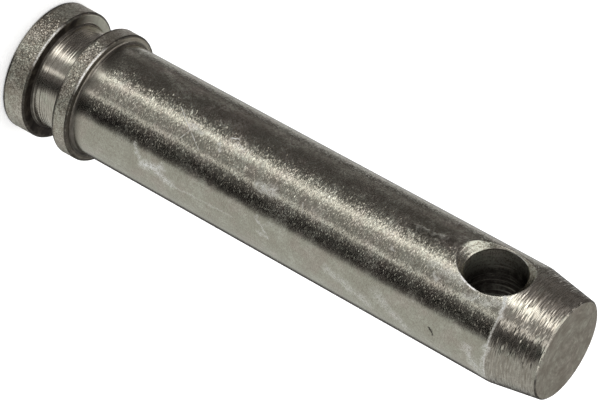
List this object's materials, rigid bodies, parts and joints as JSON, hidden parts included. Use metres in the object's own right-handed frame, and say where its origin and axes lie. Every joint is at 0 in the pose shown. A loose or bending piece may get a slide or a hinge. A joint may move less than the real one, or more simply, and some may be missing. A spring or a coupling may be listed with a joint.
{
  "type": "top link pin",
  "caption": "Turned steel hitch pin with a grooved, double-flanged head, a plain shaft, a tapered tip and a countersunk cross hole for a linch pin.",
  "frame": {"origin": "centre of the head's flat end face, which the pin stands on", "axes": "+Z along the pin from the head to the tapered tip, Y along the cross hole"},
  "size_m": [0.0293, 0.0292, 0.1328],
  "materials": {
    "plated_steel": "turned steel with a dull, patchy zinc plating"
  },
  "bodies": {
    "root": {"top_link_pin": "plated_steel"}
  },
  "joints": []
}
